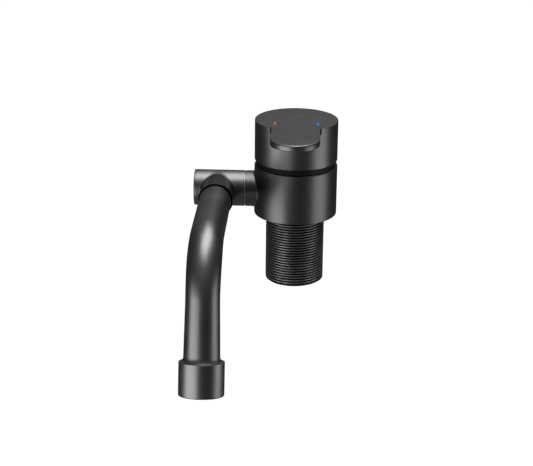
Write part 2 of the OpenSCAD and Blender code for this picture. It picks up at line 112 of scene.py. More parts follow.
# Sizes that the frame gives
body_low, body_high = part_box("main_body")
shank_low, shank_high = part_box("threaded_shank")
cap_low, cap_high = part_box("handle_cap")
ring_low, ring_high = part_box("neck_ring")
collar_low, collar_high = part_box("swivel_collar")
end_cap_low, end_cap_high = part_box("collar_end_cap")
mark_low, mark_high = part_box("cold_mark")
plug_low, plug_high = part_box("screw_plug")
hinges = {joint["name"]: joint for joint in frame["joints"]}
stub_mouth = Vector(hinges["spout_swivel"]["pos_m"])

BODY_R = body_high.x
BODY_H = body_high.z
ARM_R = collar_high.y
ARM_Z = stub_mouth.z
ARM_END = -body_low.x
SHANK_R = shank_high.x
SHANK_L = -shank_low.z
CAP_R = cap_high.x
CAP_LOW = cap_low.z
CAP_TOP = cap_high.z
TONGUE_REACH = -cap_low.y
PLUG_Z = (plug_low.z + plug_high.z) / 2
COLLAR_START = -collar_high.x
COLLAR_END = -collar_low.x
STUB_X = -stub_mouth.x
STUB_END = -stub_mouth.y

# Degrees that the tongue lifts, at which the back of the cap still clears the ring
LIFT = hinges["handle_lift"]["range_deg"][1]

# Sizes of the body and the shank
BODY_EDGE = 0.5 * MM
BODY_FOOT_EDGE = 0.25 * MM
FLOOR_T = 8.5 * MM
CHAMBER_R = 17.52 * MM
NUT_R = 19.02 * MM
NUT_SEAT = 21.5 * MM
NUT_LEAD = 0.3 * MM
SPINDLE_R = 6.52 * MM
SPINDLE_ROOT = 7 * MM
PASSAGE_R = 3.6 * MM
SOCKET_H = 4 * MM
SOCKET_IN = 12.5 * MM
SOCKET_OUT = 15.05 * MM
MOUTH_R = 16.2 * MM
MOUTH_H = 0.5 * MM
PORT_R = 4.5 * MM
PORT_X = 6 * MM
PORT_RECESS = 0.8 * MM
PORT_LEAD = 0.4 * MM
PORT_END = 7.8 * MM
FEED_R = 2.75 * MM
SEAL_GROOVE_IN = 17.98 * MM
SEAL_GROOVE_OUT = 20.22 * MM
SEAL_GROOVE_H = 2.22 * MM
ARM_FILLET = 0.7 * MM
ARM_EDGE = 0.2 * MM
BORE_R = 12 * MM
THREAD_PITCH = 1.5 * MM
THREAD_DEPTH = 0.92 * MM
THREAD_LEAD = 1.5 * MM
THREAD_CHAMFER = 0.3 * MM

# Sizes of the handle
TONGUE_HALF = 12.9 * MM
TONGUE_T = 3.2 * MM
TONGUE_EDGE = 1.1 * MM
RIM_EDGE = 0.45 * MM
CAP_FOOT_EDGE = 0.3 * MM
SLOT_EDGE = 0.15 * MM
SLOT_W = 0.7 * MM
SLOT_IN = 1.2 * MM
SKIRT_R = 19.93 * MM
CEILING = 47 * MM
CEILING_EDGE = 0.5 * MM
BOSS_R = 8 * MM
BOSS_Z = 40.7 * MM
STEM_HALF_X = 3.52 * MM
STEM_HALF_Y = 4.02 * MM
STEM_TOP = 46.52 * MM
RELIEF_Y = 10.05 * MM
PLUG_R = 2.62 * MM
PLUG_LEAD = 0.4 * MM
PLUG_EDGE = 0.25 * MM
PLUG_SHOULDER = 0.35 * MM
GRUB_R = 2.47 * MM
MARK_W = 1.4 * MM
MARK_L = 5.2 * MM
MARK_T = 0.6 * MM
RING_BORE = 19.1 * MM
RING_EDGE_LOW = 0.15 * MM
RING_EDGE_HIGH = 0.3 * MM

# Sizes of the collar, the spout and the nozzle
COLLAR_EDGE_NEAR = 0.15 * MM
COLLAR_EDGE_FAR = 0.5 * MM
STUB_R = 9.5 * MM
STUB_ROOT_R = 9.05 * MM
STUB_FILLET = 0.5 * MM
STUB_EDGE = 0.06 * MM
STUB_RIM_R = 9.15 * MM
STUB_STEP = 1 * MM
WELL_R = 8.4 * MM
WELL_DEPTH = 5.5 * MM
WELL_LEAD = 0.25 * MM
DISC_RIM_W = 1.4 * MM
DISC_SLOPE_W = 0.4 * MM
DISC_DISH = 0.3 * MM
DISC_EDGE = 0.3 * MM
DISC_BEND = 0.2 * MM
WATER_ROOM_R = 8 * MM
WATER_ROOM_HALF = 3.3 * MM
SPIGOT_R = 6.05 * MM
SET_SCREW_R = 2.02 * MM
SET_SCREW_Y = 15.85 * MM
SEAM = 0.25 * MM
TUBE_R = 8.5 * MM
TUBE_WALL = 1 * MM
TUBE_RUN = 49.6 * MM
TUBE_EDGE = 0.5 * MM
BEND_R = 32.1 * MM
BEND_ANGLE = math.radians(74.7)
BEND_SWELL = 0.2 * MM
TUBE_DROP = 29.5 * MM
TUBE_IN = 5 * MM
FLARE_R = 9.1 * MM
FLARE_FILLET_H = 2.8 * MM
FLARE_FILLET_W = 0.8 * MM
FLARE_SUNK = 0.6 * MM
NOZZLE_R = 11.35 * MM
NOZZLE_L = 16.7 * MM
SHOULDER_H = 0.7 * MM
SHOULDER_EDGE = 0.1 * MM
NOZZLE_EDGE = 0.6 * MM
NOZZLE_BORE = 9.77 * MM
NOZZLE_LEAD = 0.3 * MM
MOUTH_RECESS = 1 * MM
AERATOR_SEAT = 1.9 * MM
AERATOR_WALL = 1.1 * MM
AERATOR_EDGE = 0.4 * MM
AERATOR_LEAD = 0.25 * MM
COMB_PITCH = 3.1 * MM
COMB_BACK = 2.5 * MM
COMB_RECESS = 0.5 * MM
COMB_LAP = 0.3 * MM

# Clearance, how far cutters reach past what they cut, and how finely the meshes are made
SNUG = 0.02 * MM
OVER = 1 * MM
SIDES = 192
ARC_STEPS = 4
ROW_STEP = 1.2 * MM
TINY = 0.01 * MM
WELD = 0.0005 * MM
ON_AXIS = 0.0001 * MM
SOFT_ANGLE = math.radians(40)
CREASE_ANGLE = math.radians(28)


# Places: along the arm, along the stub, at the tube's end and at the screw in the cap

def on_arm(x):
    """From a frame whose Z runs out along the arm, x from the body's axis."""
    return shift(-x, 0, ARM_Z) @ turn(-90, "Y")


def on_stub(y):
    """From a frame whose Z runs out along the stub, y from the arm's axis."""
    return shift(-STUB_X, -y, ARM_Z) @ turn(90, "X")


def on_tube_end():
    """From a frame whose Z runs down the nozzle, starting at the nozzle's shoulder."""
    sag = BEND_R * (1 - math.cos(BEND_ANGLE))
    bend_end = shift(0, -sag, TUBE_RUN + BEND_R * math.sin(BEND_ANGLE))
    bend = Matrix.Rotation(BEND_ANGLE, 4, "X")
    return on_stub(STUB_END + SEAM) @ bend_end @ bend @ shift(0, 0, TUBE_DROP)


def on_screw():
    """From a frame whose Z runs from the cap's axis out through the screw's hole at the back."""
    return shift(0, 0, PLUG_Z) @ turn(-90, "X")


# Mesh helpers

def swung(start, end, share):
    """The vector that lies this share of the way round from start to end."""
    sweep = start.angle(end)
    first = math.sin((1 - share) * sweep) / math.sin(sweep)
    last = math.sin(share * sweep) / math.sin(sweep)
    return start * first + end * last


def rounded(corners):
    """The points of a lathe profile. A corner is (radius, height) or (radius, height, rounding)."""
    points = []
    for i, corner in enumerate(corners):
        here = Vector(corner[:2])
        if len(corner) == 2:
            points.append(here)
            continue
        back = (Vector(corners[i - 1][:2]) - here).normalized()
        on = (Vector(corners[(i + 1) % len(corners)][:2]) - here).normalized()
        half = back.angle(on) / 2
        middle = here + (back + on).normalized() * corner[2] / math.sin(half)
        start = here + back * corner[2] / math.tan(half) - middle
        end = here + on * corner[2] / math.tan(half) - middle
        points += [middle + swung(start, end, k / ARC_STEPS) for k in range(ARC_STEPS + 1)]
    return points


def with_rows(points, step):
    """The same profile with extra points, so that no stretch of it is longer than step."""
    rows = [points[0]]
    for before, after in zip(points, points[1:]):
        count = max(1, math.ceil((after - before).length / step))
        rows += [before.lerp(after, k / count) for k in range(1, count + 1)]
    return rows


def mesh_from(bm):
    """A plain mesh from a bmesh, with its faces pointing outwards."""
    bmesh.ops.recalc_face_normals(bm, faces=bm.faces)
    mesh = bpy.data.meshes.new("shape")
    bm.to_mesh(mesh)
    bm.free()
    return mesh


def lathe(corners, sides=SIDES, ring=False, step=None):
    """A closed mesh of revolution about Z. A ring's profile is closed and stays off the axis."""
    points = rounded(corners)
    if step:
        points = with_rows(points, step)
    bm = bmesh.new()
    angles = [2 * math.pi * k / sides for k in range(sides)]
    rows = []
    for radius, height in points:
        if radius < ON_AXIS:
            rows.append([bm.verts.new((0, 0, height))])
            continue
        rows.append([bm.verts.new((radius * math.cos(angle), radius * math.sin(angle), height))
                     for angle in angles])
    pairs = list(zip(rows, rows[1:]))
    if ring:
        pairs.append((rows[-1], rows[0]))
    for low, high in pairs:
        for k in range(sides):
            near = [low[k % len(low)], low[(k + 1) % len(low)]]
            far = [high[(k + 1) % len(high)], high[k % len(high)]]
            face = list(dict.fromkeys(near + far))
            if len(face) > 2:
                bm.faces.new(face)
    return mesh_from(bm)


def block(low, high):
    """A closed box mesh between two corners, used as a cutter."""
    bm = bmesh.new()
    bmesh.ops.create_cube(bm, size=1)
    size = Vector(high) - Vector(low)
    middle = (Vector(high) + Vector(low)) / 2
    bmesh.ops.scale(bm, vec=size, verts=bm.verts)
    bmesh.ops.translate(bm, vec=middle, verts=bm.verts)
    return mesh_from(bm)


def stacked(rings):
    """A closed mesh over rings of points, from the first to the last, with as many points each."""
    bm = bmesh.new()
    rows = [[bm.verts.new(point) for point in ring] for ring in rings]
    count = len(rows[0])
    for low, high in zip(rows, rows[1:]):
        for k in range(count):
            bm.faces.new((low[k], low[(k + 1) % count], high[(k + 1) % count], high[k]))
    bm.faces.new(rows[0])
    bm.faces.new(rows[-1])
    return mesh_from(bm)


def moved(mesh, matrix):
    """The mesh at another place."""
    mesh.transform(matrix)
    return mesh


def plain_copy(thing):
    """The evaluated mesh of an object, with its modifiers applied."""
    graph = bpy.context.evaluated_depsgraph_get()
    return bpy.data.meshes.new_from_object(thing.evaluated_get(graph))


def welded(mesh):
    """A bmesh of the mesh, with its doubles merged."""
    bm = bmesh.new()
    bm.from_mesh(mesh)
    bmesh.ops.remove_doubles(bm, verts=bm.verts, dist=WELD)
    return bm


def combined(base, other, operation):
    """The base mesh with another closed mesh added to it or cut out of it."""
    things = [in_scene("part", base), in_scene("part", other)]
    change = things[0].modifiers.new("change", "BOOLEAN")
    change.operation = operation
    change.object = things[1]
    change.solver = "EXACT"
    result = plain_copy(things[0])
    for thing in things:
        bpy.data.objects.remove(thing)
    return result


def cut(base, *cutters):
    """The base mesh without the cutters."""
    for cutter in cutters:
        base = combined(base, cutter, "DIFFERENCE")
    return base


def branch(main_r, branch_r, tip_r, length, fillet, edge):
    """A round branch along Z from a round main piece along X, with a fillet where they meet.

    The fillet is the path of a ball that rolls on both. Its last rings dip into the main piece.
    """
    reach = 0.86
    dip = 0.5 * MM
    fillet_steps = 6
    wall_steps = 12
    bm = bmesh.new()
    tip = rounded([(0, length), (tip_r, length, edge), (tip_r, length - 2 * edge)])[1:-1]
    lines = []
    for k in range(SIDES):
        angle = 2 * math.pi * k / SIDES
        out = Vector((math.cos(angle), math.sin(angle), 0))
        side = (branch_r + fillet) * out
        middle = side + Vector((0, 0, math.sqrt((main_r + fillet) ** 2 - side.y ** 2)))
        to_main = Vector((0, -middle.y, -middle.z)).normalized()
        line = [out * radius + Vector((0, 0, height)) for radius, height in tip]
        top = line[-1]
        foot = middle - out * fillet
        line += [top.lerp(foot, step / wall_steps) for step in range(1, wall_steps)]
        line += [middle + fillet * swung(-out, to_main, reach * step / fillet_steps)
                 for step in range(fillet_steps + 1)]
        onward = (line[-1] - line[-2]).normalized()
        line.append(line[-1] + onward * dip)
        lines.append([bm.verts.new(point) for point in line])
    rows = list(zip(*lines))
    for upper, lower in zip(rows, rows[1:]):
        for k in range(SIDES):
            on = (k + 1) % SIDES
            bm.faces.new((upper[k], upper[on], lower[on], lower[k]))
    bm.faces.new(rows[0])
    root = bm.verts.new((0, 0, 0))
    for k in range(SIDES):
        bm.faces.new((rows[-1][k], rows[-1][(k + 1) % SIDES], root))
    return mesh_from(bm)


def softened(mesh, width, steps, share_at):
    """The mesh with its sharp edges rounded. share_at gives an edge's share of the width."""
    bm = welded(mesh)
    shares = bm.edges.layers.float.new("bevel_weight_edge")
    for edge in bm.edges:
        if len(edge.link_faces) == 2 and edge.calc_face_angle(0) > SOFT_ANGLE:
            edge[shares] = share_at((edge.verts[0].co + edge.verts[1].co) / 2)
    bm.to_mesh(mesh)
    bm.free()
    thing = in_scene("part", mesh)
    change = thing.modifiers.new("soft", "BEVEL")
    change.limit_method = "WEIGHT"
    change.offset_type = "OFFSET"
    change.width = width
    change.segments = steps
    result = plain_copy(thing)
    bpy.data.objects.remove(thing)
    result.attributes.remove(result.attributes["bevel_weight_edge"])
    return result


def finish_piece(mesh, name, body, node, slot, finish=None):
    """Makes a finished piece of a mesh: smooth faces, sharp creases, its body and its finish."""
    bm = welded(mesh)
    bmesh.ops.dissolve_degenerate(bm, dist=WELD, edges=bm.edges)
    for face in bm.faces:
        face.smooth = True
    bm.to_mesh(mesh)
    bm.free()
    mesh.set_sharp_from_angle(angle=CREASE_ANGLE)
    mesh.materials.clear()
    mesh.materials.append(FINISHES[finish or slot])
    piece = in_scene(name, mesh)
    even = piece.modifiers.new("even", "WEIGHTED_NORMAL")
    even.keep_sharp = True
    piece.data = plain_copy(piece)
    piece.modifiers.clear()
    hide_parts(node)
    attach(piece, body)


# Node helpers

class Tree:
    """A node tree being built: its nodes, and short ways to join them."""

    def __init__(self, tree):
        self.tree = tree

    def feed(self, node, feeds):
        """Feeds a node's sockets, by name or number, from other sockets or with plain values."""
        for label, value in feeds.items():
            if isinstance(value, bpy.types.NodeSocket):
                self.tree.links.new(value, node.inputs[label])
            else:
                node.inputs[label].default_value = value

    def node(self, kind, feeds=None, **settings):
        """A new node with these settings, fed with these sockets and values."""
        made = self.tree.nodes.new(kind)
        for name, value in settings.items():
            setattr(made, name, value)
        self.feed(made, feeds or {})
        return made

    def math(self, operation, *values):
        """The result of one operation on numbers."""
        return self.node("ShaderNodeMath", dict(enumerate(values)), operation=operation).outputs[0]

    def plus(self, a, b):
        return self.math("ADD", a, b)

    def minus(self, a, b):
        return self.math("SUBTRACT", a, b)

    def times(self, a, b):
        return self.math("MULTIPLY", a, b)

    def times_plus(self, a, b, c):
        return self.math("MULTIPLY_ADD", a, b, c)

    def between(self, value, low, high, to_low=0.0, to_high=1.0):
        """The value's place between low and high, clamped to lie between to_low and to_high."""
        made = self.node("ShaderNodeMapRange", {
            "Value": value, "From Min": low, "From Max": high, "To Min": to_low, "To Max": to_high,
        })
        return made.outputs["Result"]

    def choose(self, test, if_true, if_false):
        """if_true where the test is 1, and if_false where it is 0."""
        gap = self.minus(if_true, if_false)
        return self.times_plus(test, gap, if_false)

    def away(self, a, b):
        """How far a point is from an axis that it lies a and b beside."""
        return self.math("SQRT", self.times_plus(a, a, self.times(b, b)))

    def split(self, vector):
        """The three parts of a vector."""
        return self.node("ShaderNodeSeparateXYZ", {0: vector}).outputs

    def vector(self, x=0.0, y=0.0, z=0.0):
        """A vector made of three numbers."""
        return self.node("ShaderNodeCombineXYZ", {0: x, 1: y, 2: z}).outputs[0]

    def dot(self, first, second):
        """The dot product of two vectors."""
        made = self.node("ShaderNodeVectorMath", {0: first, 1: second}, operation="DOT_PRODUCT")
        return made.outputs["Value"]

    def mixed(self, share, first, second):
        """A colour between two."""
        feeds = {"Factor": share, "A": first, "B": second}
        return self.node("ShaderNodeMix", feeds, data_type="RGBA").outputs["Result"]

    def position(self):
        """Where the points of the geometry are."""
        return self.node("GeometryNodeInputPosition").outputs[0]

    def on_object(self):
        """Where the shaded point is, in the object's own frame."""
        return self.node("ShaderNodeTexCoord").outputs["Object"]


def shape_from_tree(build, name, sizes, finish):
    """The plain mesh that a geometry node tree makes. Each size is a named input of the tree."""
    tree = bpy.data.node_groups.new(name, "GeometryNodeTree")
    tree.interface.new_socket("Geometry", in_out="OUTPUT", socket_type="NodeSocketGeometry")
    inputs = {}
    for label, value in sizes.items():
        kind = "NodeSocketInt" if isinstance(value, int) else "NodeSocketFloat"
        inputs[label] = tree.interface.new_socket(label, in_out="INPUT", socket_type=kind)
    t = Tree(tree)
    geometry = build(t, t.node("NodeGroupInput").outputs)
    real = t.node("GeometryNodeRealizeInstances", {0: geometry}).outputs[0]
    paint = t.node("GeometryNodeSetMaterial", {"Geometry": real, "Material": FINISHES[finish]})
    t.node("NodeGroupOutput", {0: paint.outputs[0]})
    thing = in_scene(name, bpy.data.meshes.new(name))
    modifier = thing.modifiers.new(name, "NODES")
    modifier.node_group = tree
    for label, value in sizes.items():
        modifier[inputs[label].identifier] = value
    mesh = plain_copy(thing)
    bpy.data.objects.remove(thing)
    return mesh


def wrapped_grid(t, sides, rows):
    """A grid to wrap round an axis: its geometry, the share of a turn and the row's number."""
    grid = t.node("GeometryNodeMeshGrid", {
        "Size X": 1, "Size Y": 1, "Vertices X": t.plus(sides, 1), "Vertices Y": rows,
    })
    x, y, _ = t.split(t.position())
    turn_share = t.plus(x, 0.5)
    row = t.times(t.plus(y, 0.5), t.minus(rows, 1))
    return grid.outputs["Mesh"], turn_share, row


def reshaped(t, geometry, place):
    """The geometry with its points moved to their place, and its seam closed."""
    move = t.node("GeometryNodeSetPosition", {"Geometry": geometry, "Position": place})
    weld = t.node("GeometryNodeMergeByDistance", {"Geometry": move.outputs[0], "Distance": WELD})
    return weld.outputs[0]


def build_thread(t, size):
    """A hollow shank whose outside is one helical thread.

    Row 0 is the bore's upper edge. Then come the rows of the thread, from the top down, the bore's
    lower edge, and the upper edge again, which closes the bore.
    """
    rows = t.plus(size["Rows"], 3)
    grid, turn_share, row = wrapped_grid(t, size["Sides"], rows)
    share = t.between(row, 1.0, size["Rows"])
    depth = t.times(share, size["Length"])
    wave = t.math("FRACT", t.plus(t.math("DIVIDE", depth, size["Pitch"]), turn_share))
    slope = t.math("ABSOLUTE", t.times_plus(wave, 2.0, -1.0))
    ridge = t.between(slope, size["Root Share"], size["Crest Start"])
    entry = t.between(depth, 0.0, size["Lead"], size["Entry Share"], 1.0)
    ridge = t.times(ridge, entry)
    thread_r = t.times_plus(ridge, size["Depth"], size["Root Radius"])
    left = t.minus(size["Length"], depth)
    chamfer = t.times_plus(left, size["Chamfer Slope"], size["Chamfer Start"])
    thread_r = t.math("MINIMUM", thread_r, t.plus(size["Root Radius"], chamfer))
    first = t.math("LESS_THAN", row, 0.5)
    last = t.math("GREATER_THAN", row, t.plus(size["Rows"], 0.5))
    in_bore = t.math("MAXIMUM", first, last)
    radius = t.choose(in_bore, size["Bore Radius"], thread_r)
    closing = t.math("GREATER_THAN", row, t.plus(size["Rows"], 1.5))
    height = t.times(t.choose(closing, 0.0, depth), -1.0)
    angle = t.times(turn_share, 2 * math.pi)
    x = t.times(radius, t.math("COSINE", angle))
    y = t.times(radius, t.math("SINE", angle))
    return reshaped(t, grid, t.vector(x, y, height))


def build_spout(t, size):
    """A tube along a straight run, a bend and a drop, a little wider in the bend and at its end.

    The rows go out along the outer wall and come back along the inner one. Just above the nozzle
    the tube flares in a curve, and inside the nozzle it has its end radius.
    """
    rows = t.times_plus(size["Rows"], 2.0, 1.0)
    grid, turn_share, row = wrapped_grid(t, size["Sides"], rows)
    last_row = t.minus(size["Rows"], 1)
    inner = t.math("GREATER_THAN", row, t.plus(last_row, 0.5))
    closing = t.math("GREATER_THAN", row, t.minus(rows, 1.5))
    back_row = t.minus(t.times_plus(size["Rows"], 2.0, -1.0), row)
    path_row = t.math("MAXIMUM", t.choose(inner, back_row, row), 0.0)
    bend_length = t.times(size["Bend Radius"], size["Bend Angle"])
    bend_end = t.plus(size["Run"], bend_length)
    length = t.plus(bend_end, size["Drop"])
    along = t.times(t.math("DIVIDE", path_row, last_row), length)
    angle = t.math("DIVIDE", t.minus(along, size["Run"]), size["Bend Radius"])
    angle = t.math("MINIMUM", t.math("MAXIMUM", angle, 0.0), size["Bend Angle"])
    before = t.math("MINIMUM", along, size["Run"])
    after = t.math("MAXIMUM", t.minus(along, bend_end), 0.0)
    sine = t.math("SINE", angle)
    cosine = t.math("COSINE", angle)
    bend_out = t.times_plus(size["Bend Radius"], sine, before)
    forward = t.times_plus(after, cosine, bend_out)
    bend_down = t.times(size["Bend Radius"], t.minus(1.0, cosine))
    down = t.times_plus(after, sine, bend_down)
    bend_share = t.math("DIVIDE", angle, size["Bend Angle"])
    bulge = t.math("POWER", t.math("SINE", t.times(bend_share, math.pi)), 2.0)
    radius = t.times_plus(bulge, size["Swell"], size["Radius"])
    drop_share = t.between(after, 0.0, t.minus(size["Drop"], size["Inset"]))
    widening = t.minus(size["End Radius"], size["Radius"])
    radius = t.times_plus(drop_share, widening, radius)
    foot = t.minus(size["Drop"], size["Foot"])
    rise = t.between(after, t.minus(foot, size["Fillet Height"]), foot)
    outside = t.math("LESS_THAN", after, foot)
    fillet = t.times(t.math("POWER", rise, size["Fillet Power"]), outside)
    radius = t.times_plus(fillet, size["Fillet Width"], radius)
    thin = t.minus(inner, closing)
    radius = t.minus(radius, t.times(thin, size["Wall"]))
    around = t.times(turn_share, 2 * math.pi)
    across = t.times(radius, t.math("COSINE", around))
    up = t.times(radius, t.math("SINE", around))
    x = t.plus(size["Start X"], across)
    y = t.minus(t.times_plus(up, sine, size["Start Y"]), forward)
    z = t.minus(t.minus(size["Start Z"], down), t.times(up, cosine))
    return reshaped(t, grid, t.vector(x, y, z))


def build_comb(t, size):
    """A round plate with a hexagonal pattern of six-sided holes."""
    last = t.minus(size["Holes Across"], 1)
    span = t.times(size["Pitch"], last)
    grid = t.node("GeometryNodeMeshGrid", {
        "Vertices X": size["Holes Across"], "Vertices Y": size["Holes Across"],
        "Size X": span, "Size Y": span,
    })
    x, y, _ = t.split(t.position())
    half = t.times(size["Thickness"], 0.5)
    skewed = t.vector(t.times_plus(y, 0.5, x), t.times(y, math.sqrt(3) / 2), half)
    points = t.node("GeometryNodeSetPosition", {
        "Geometry": grid.outputs["Mesh"], "Position": skewed,
    })
    x, y, _ = t.split(t.position())
    keep = t.math("LESS_THAN", t.away(x, y), t.times(size["Pitch"], size["Reach"]))
    cell = t.node("GeometryNodeMeshCylinder", {
        "Vertices": 6, "Radius": t.times(size["Pitch"], 0.5),
        "Depth": t.times(size["Thickness"], 1.5),
    }, fill_type="NGON")
    cells = t.node("GeometryNodeInstanceOnPoints", {
        "Points": points.outputs[0], "Selection": keep, "Instance": cell.outputs["Mesh"],
        "Rotation": (0, 0, math.radians(30)),
    })
    holes = t.node("GeometryNodeRealizeInstances", {0: cells.outputs[0]})
    plate = t.node("GeometryNodeMeshCylinder", {
        "Vertices": size["Sides"], "Radius": size["Radius"], "Depth": size["Thickness"],
    }, fill_type="NGON")
    lifted = t.node("GeometryNodeTransform", {
        "Geometry": plate.outputs["Mesh"], "Translation": t.vector(z=half),
    })
    drilled = t.node("GeometryNodeMeshBoolean", {0: lifted.outputs[0], 1: holes.outputs[0]},
                     operation="DIFFERENCE")
    return drilled.outputs["Mesh"]


# Materials

def surface_group():
    """The finish that every material shares: grain, soft stains, turning marks, and painted highlights in patches
    along edges.
    """
    tree = bpy.data.node_groups.new("surface_finish", "ShaderNodeTree")
    kinds = {
        "INPUT": {"Colour": "Color", "Edge Highlight Colour": "Color", "Roughness": "Float",
                  "Edge Roughness": "Float", "Grain Size": "Float", "Grain Depth": "Float",
                  "Mottle": "Float", "Turning Axis": "Vector", "Turning Depth": "Float",
                  "Edge Width": "Float"},
        "OUTPUT": {"Colour": "Color", "Roughness": "Float", "Normal": "Vector"},
    }
    for way, sockets in kinds.items():
        for label, kind in sockets.items():
            tree.interface.new_socket(label, in_out=way, socket_type="NodeSocket" + kind)
    t = Tree(tree)
    given = t.node("NodeGroupInput").outputs
    here = t.on_object()

    fineness = t.math("DIVIDE", 1.0, given["Grain Size"])
    grain = t.node("ShaderNodeTexNoise", {"Vector": here, "Scale": fineness, "Detail": 3})
    stains = t.node("ShaderNodeTexNoise", {"Vector": here, "Scale": 110, "Detail": 4}).outputs[0]
    spots = t.between(stains, 0.35, 0.65, -1.0, 1.0)
    along = t.dot(here, given["Turning Axis"])
    rings = t.node("ShaderNodeTexNoise", {"W": along, "Scale": 2200, "Detail": 2},
                   noise_dimensions="1D")

    edge_normal = t.node("ShaderNodeBevel", {"Radius": given["Edge Width"]}, samples=4)
    normal = t.node("ShaderNodeNewGeometry").outputs["Normal"]
    edge = t.between(t.dot(edge_normal.outputs[0], normal), 0.995, 0.90)
    # Painted highlight: edges take the lighter edge colour, in patches set by the stains.
    patchy_edge_highlight = t.times(edge, t.between(stains, 0.30, 0.55))

    colour = t.mixed(patchy_edge_highlight, given["Colour"], given["Edge Highlight Colour"])
    value = t.times_plus(spots, given["Mottle"], 1.0)
    shade = t.node("ShaderNodeHueSaturation", {"Color": colour, "Value": value})

    fine = t.minus(grain.outputs[0], 0.5)
    dulling = t.times(given["Mottle"], 0.5)
    rough = t.times_plus(spots, dulling, given["Roughness"])
    rough = t.times_plus(fine, 0.08, rough)
    rough = t.choose(patchy_edge_highlight, given["Edge Roughness"], rough)

    height = t.times(fine, given["Grain Depth"])
    ring_height = t.times(rings.outputs[0], given["Turning Depth"])
    bump = t.node("ShaderNodeBump", {
        "Strength": 1.0, "Distance": 1.0, "Height": t.plus(height, ring_height),
    })
    t.node("NodeGroupOutput", {
        "Colour": shade.outputs[0], "Roughness": rough, "Normal": bump.outputs[0],
    })
    return tree


SURFACE = surface_group()


def new_material(name, colour, roughness, metallic=0.0, edge_highlight_colour=None, edge_roughness=None,
                 grain=0.25, depth=0.002, mottle=0.05, turning=(0, 0, 0), turning_depth=0.0,
                 coat=0.0, specular=0.5):
    """A material of the shared finish. Sizes are in millimetres, and the coat is a clear one."""
    material = bpy.data.materials.new(name)
    material.use_nodes = True
    t = Tree(material.node_tree)
    finish = t.node("ShaderNodeGroup", {
        "Colour": (*colour, 1),
        "Edge Highlight Colour": (*(edge_highlight_colour or colour), 1),
        "Roughness": roughness,
        "Edge Roughness": roughness if edge_roughness is None else edge_roughness,
        "Grain Size": grain * MM,
        "Grain Depth": depth * MM,
        "Mottle": mottle,
        "Turning Axis": turning,
        "Turning Depth": turning_depth * MM,
        "Edge Width": 0.3 * MM,
    }, node_tree=SURFACE, name="finish")
    t.feed(material.node_tree.nodes["Principled BSDF"], {
        "Base Color": finish.outputs["Colour"],
        "Roughness": finish.outputs["Roughness"],
        "Normal": finish.outputs["Normal"],
        "Metallic": metallic,
        "Specular IOR Level": specular,
        "Coat Weight": coat,
        "Coat Roughness": 0.25,
    })
    return material


def black_coat(name, **changes):
    """Satin black coat over turned brass."""
    settings = dict(colour=(0.117, 0.117, 0.118), roughness=0.39, metallic=1.0,
                    # The lighter edge colour is painted highlight along the edges.
                    edge_highlight_colour=(0.15, 0.15, 0.151), edge_roughness=0.28, grain=0.22,
                    depth=0.0012, mottle=0.04)
    settings.update(changes)
    return new_material(name, **settings)


def thread_coat(name):
    """The black coat on a thread, with painted light: lighter on the crests as painted highlight, and dark in the
    grooves as painted shade.
    """
    material = black_coat(name, roughness=0.42, metallic=0.72, turning=(0, 0, 1),
                          turning_depth=0.0006)
    t = Tree(material.node_tree)
    x, y, _ = t.split(t.on_object())
    flank = SHANK_R - THREAD_DEPTH + 0.72 * THREAD_DEPTH
    # Painted light by radius: painted highlight on the crests, painted shade in the grooves.
    painted_crest_light = t.between(t.away(x, y), flank, SHANK_R - 0.05 * MM)
    colour = t.mixed(painted_crest_light, (0.012, 0.012, 0.013, 1), (0.225, 0.225, 0.227, 1))
    t.feed(t.tree.nodes["finish"], {"Colour": colour})
    return material


def collar_coat(name):
    """The black coat on the collar, with painted shade: darker on its stub, and black just inside the stub's
    mouth.

    The stub is turned about its own axis, so its turning marks go round that.
    """
    material = black_coat(name, turning=(1, 0, 0), turning_depth=0.0010)
    t = Tree(material.node_tree)
    x, y, z = t.split(t.on_object())
    away = t.away(t.plus(x, STUB_X), t.minus(z, ARM_Z))
    # Painted shade: black just inside the stub's mouth, where the gap to the tube lies in shade.
    at_mouth = t.between(y, -(STUB_END - 1.3 * MM), -(STUB_END - 1.2 * MM))
    in_rim = t.between(away, STUB_RIM_R + 0.10 * MM, STUB_RIM_R + 0.04 * MM)
    light = t.minus(1.0, t.times(at_mouth, in_rim))
    # Painted shade: the stub is painted darker than the rest of the collar, standing in for how the light falls on
    # it.
    near = t.between(away, STUB_R + 0.2 * MM, STUB_R)
    stub_part_painted_darker = t.times(near, t.between(y, -1 * MM, -2 * MM))
    colour = t.mixed(stub_part_painted_darker, (0.122, 0.122, 0.123, 1), (0.045, 0.045, 0.046, 1))
    shade = t.node("ShaderNodeHueSaturation", {"Color": colour, "Value": light})
    axis = t.vector(t.minus(1.0, stub_part_painted_darker), stub_part_painted_darker)
    t.feed(t.tree.nodes["finish"], {"Colour": shade.outputs[0], "Turning Axis": axis})
    return material


